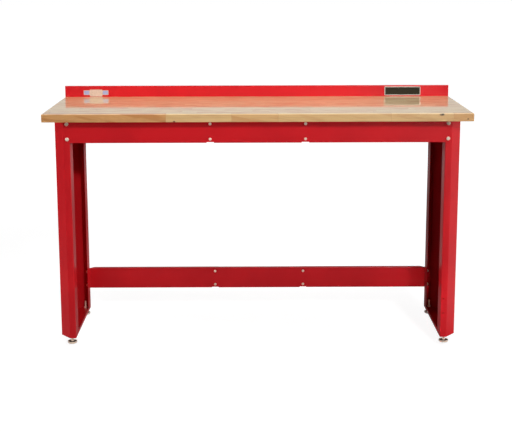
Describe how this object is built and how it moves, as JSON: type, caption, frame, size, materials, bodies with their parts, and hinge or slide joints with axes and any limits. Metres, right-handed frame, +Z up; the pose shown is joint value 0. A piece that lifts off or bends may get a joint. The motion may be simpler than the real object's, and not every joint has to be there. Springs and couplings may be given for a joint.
{
  "type": "workbench",
  "caption": "Wide steel workbench with a laminated hardwood top, low backsplash, folded sheet-metal leg panels, bolted channel rails and screw-adjusted levelling feet.",
  "frame": {"origin": "on the floor, at the centre of the whole bench", "axes": "+X to the bench's right as seen by someone standing in front of it, +Y from the front to the back, +Z up"},
  "size_m": [1.829, 0.622, 1.092],
  "materials": {
    "hardwood": "clear lacquered laminated hardwood",
    "red_coat": "glossy red powder coat on sheet steel",
    "zinc": "bright zinc plating"
  },
  "bodies": {
    "bench": {"worktop": "hardwood", "backsplash": "red_coat", "left_leg_panel": "red_coat", "right_leg_panel": "red_coat", "front_apron_left": "red_coat", "front_apron_centre": "red_coat", "front_apron_right": "red_coat", "rear_apron_left": "red_coat", "rear_apron_centre": "red_coat", "rear_apron_right": "red_coat", "stretcher_left": "red_coat", "stretcher_centre": "red_coat", "stretcher_right": "red_coat", "front_apron_leg_bolts": "zinc", "front_apron_leg_nuts": "zinc", "front_apron_lap_bolts": "zinc", "front_apron_lap_nuts": "zinc", "rear_apron_leg_bolts": "zinc", "rear_apron_leg_nuts": "zinc", "rear_apron_lap_bolts": "zinc", "rear_apron_lap_nuts": "zinc", "stretcher_leg_bolts": "zinc", "stretcher_leg_nuts": "zinc", "stretcher_lap_bolts": "zinc", "stretcher_lap_nuts": "zinc", "worktop_leg_screws": "zinc", "worktop_apron_screws": "zinc", "backsplash_screws": "zinc", "foot_weld_nuts": "zinc", "foot_jam_nuts": "zinc"},
    "front_left_pad": {"front_left_foot_pad": "zinc"},
    "front_left_stud": {"front_left_foot_stud": "zinc"},
    "front_right_pad": {"front_right_foot_pad": "zinc"},
    "front_right_stud": {"front_right_foot_stud": "zinc"},
    "rear_left_pad": {"rear_left_foot_pad": "zinc"},
    "rear_left_stud": {"rear_left_foot_stud": "zinc"},
    "rear_right_pad": {"rear_right_foot_pad": "zinc"},
    "rear_right_stud": {"rear_right_foot_stud": "zinc"}
  },
  "joints": [
    {"name": "front_left_level", "type": "slide", "parent": "bench", "child": "front_left_pad", "axis": [0, 0, 1], "range_m": [-0.025, 0.006]},
    {"name": "front_left_turn", "type": "hinge", "parent": "front_left_pad", "child": "front_left_stud", "pos_m": [-0.829, -0.22, 0.01], "axis": [0, 0, 1], "range_deg": [-5670, 1361]},
    {"name": "front_right_level", "type": "slide", "parent": "bench", "child": "front_right_pad", "axis": [0, 0, 1], "range_m": [-0.025, 0.006]},
    {"name": "front_right_turn", "type": "hinge", "parent": "front_right_pad", "child": "front_right_stud", "pos_m": [0.829, -0.22, 0.01], "axis": [0, 0, 1], "range_deg": [-5670, 1361]},
    {"name": "rear_left_level", "type": "slide", "parent": "bench", "child": "rear_left_pad", "axis": [0, 0, 1], "range_m": [-0.025, 0.006]},
    {"name": "rear_left_turn", "type": "hinge", "parent": "rear_left_pad", "child": "rear_left_stud", "pos_m": [-0.829, 0.179, 0.01], "axis": [0, 0, 1], "range_deg": [-5670, 1361]},
    {"name": "rear_right_level", "type": "slide", "parent": "bench", "child": "rear_right_pad", "axis": [0, 0, 1], "range_m": [-0.025, 0.006]},
    {"name": "rear_right_turn", "type": "hinge", "parent": "rear_right_pad", "child": "rear_right_stud", "pos_m": [0.829, 0.179, 0.01], "axis": [0, 0, 1], "range_deg": [-5670, 1361]}
  ],
  "couplings": [
    {"joint": "front_left_turn", "follows": "front_left_level", "rad_per_m": 3957.9},
    {"joint": "front_right_turn", "follows": "front_right_level", "rad_per_m": 3957.9},
    {"joint": "rear_left_turn", "follows": "rear_left_level", "rad_per_m": 3957.9},
    {"joint": "rear_right_turn", "follows": "rear_right_level", "rad_per_m": 3957.9}
  ]
}
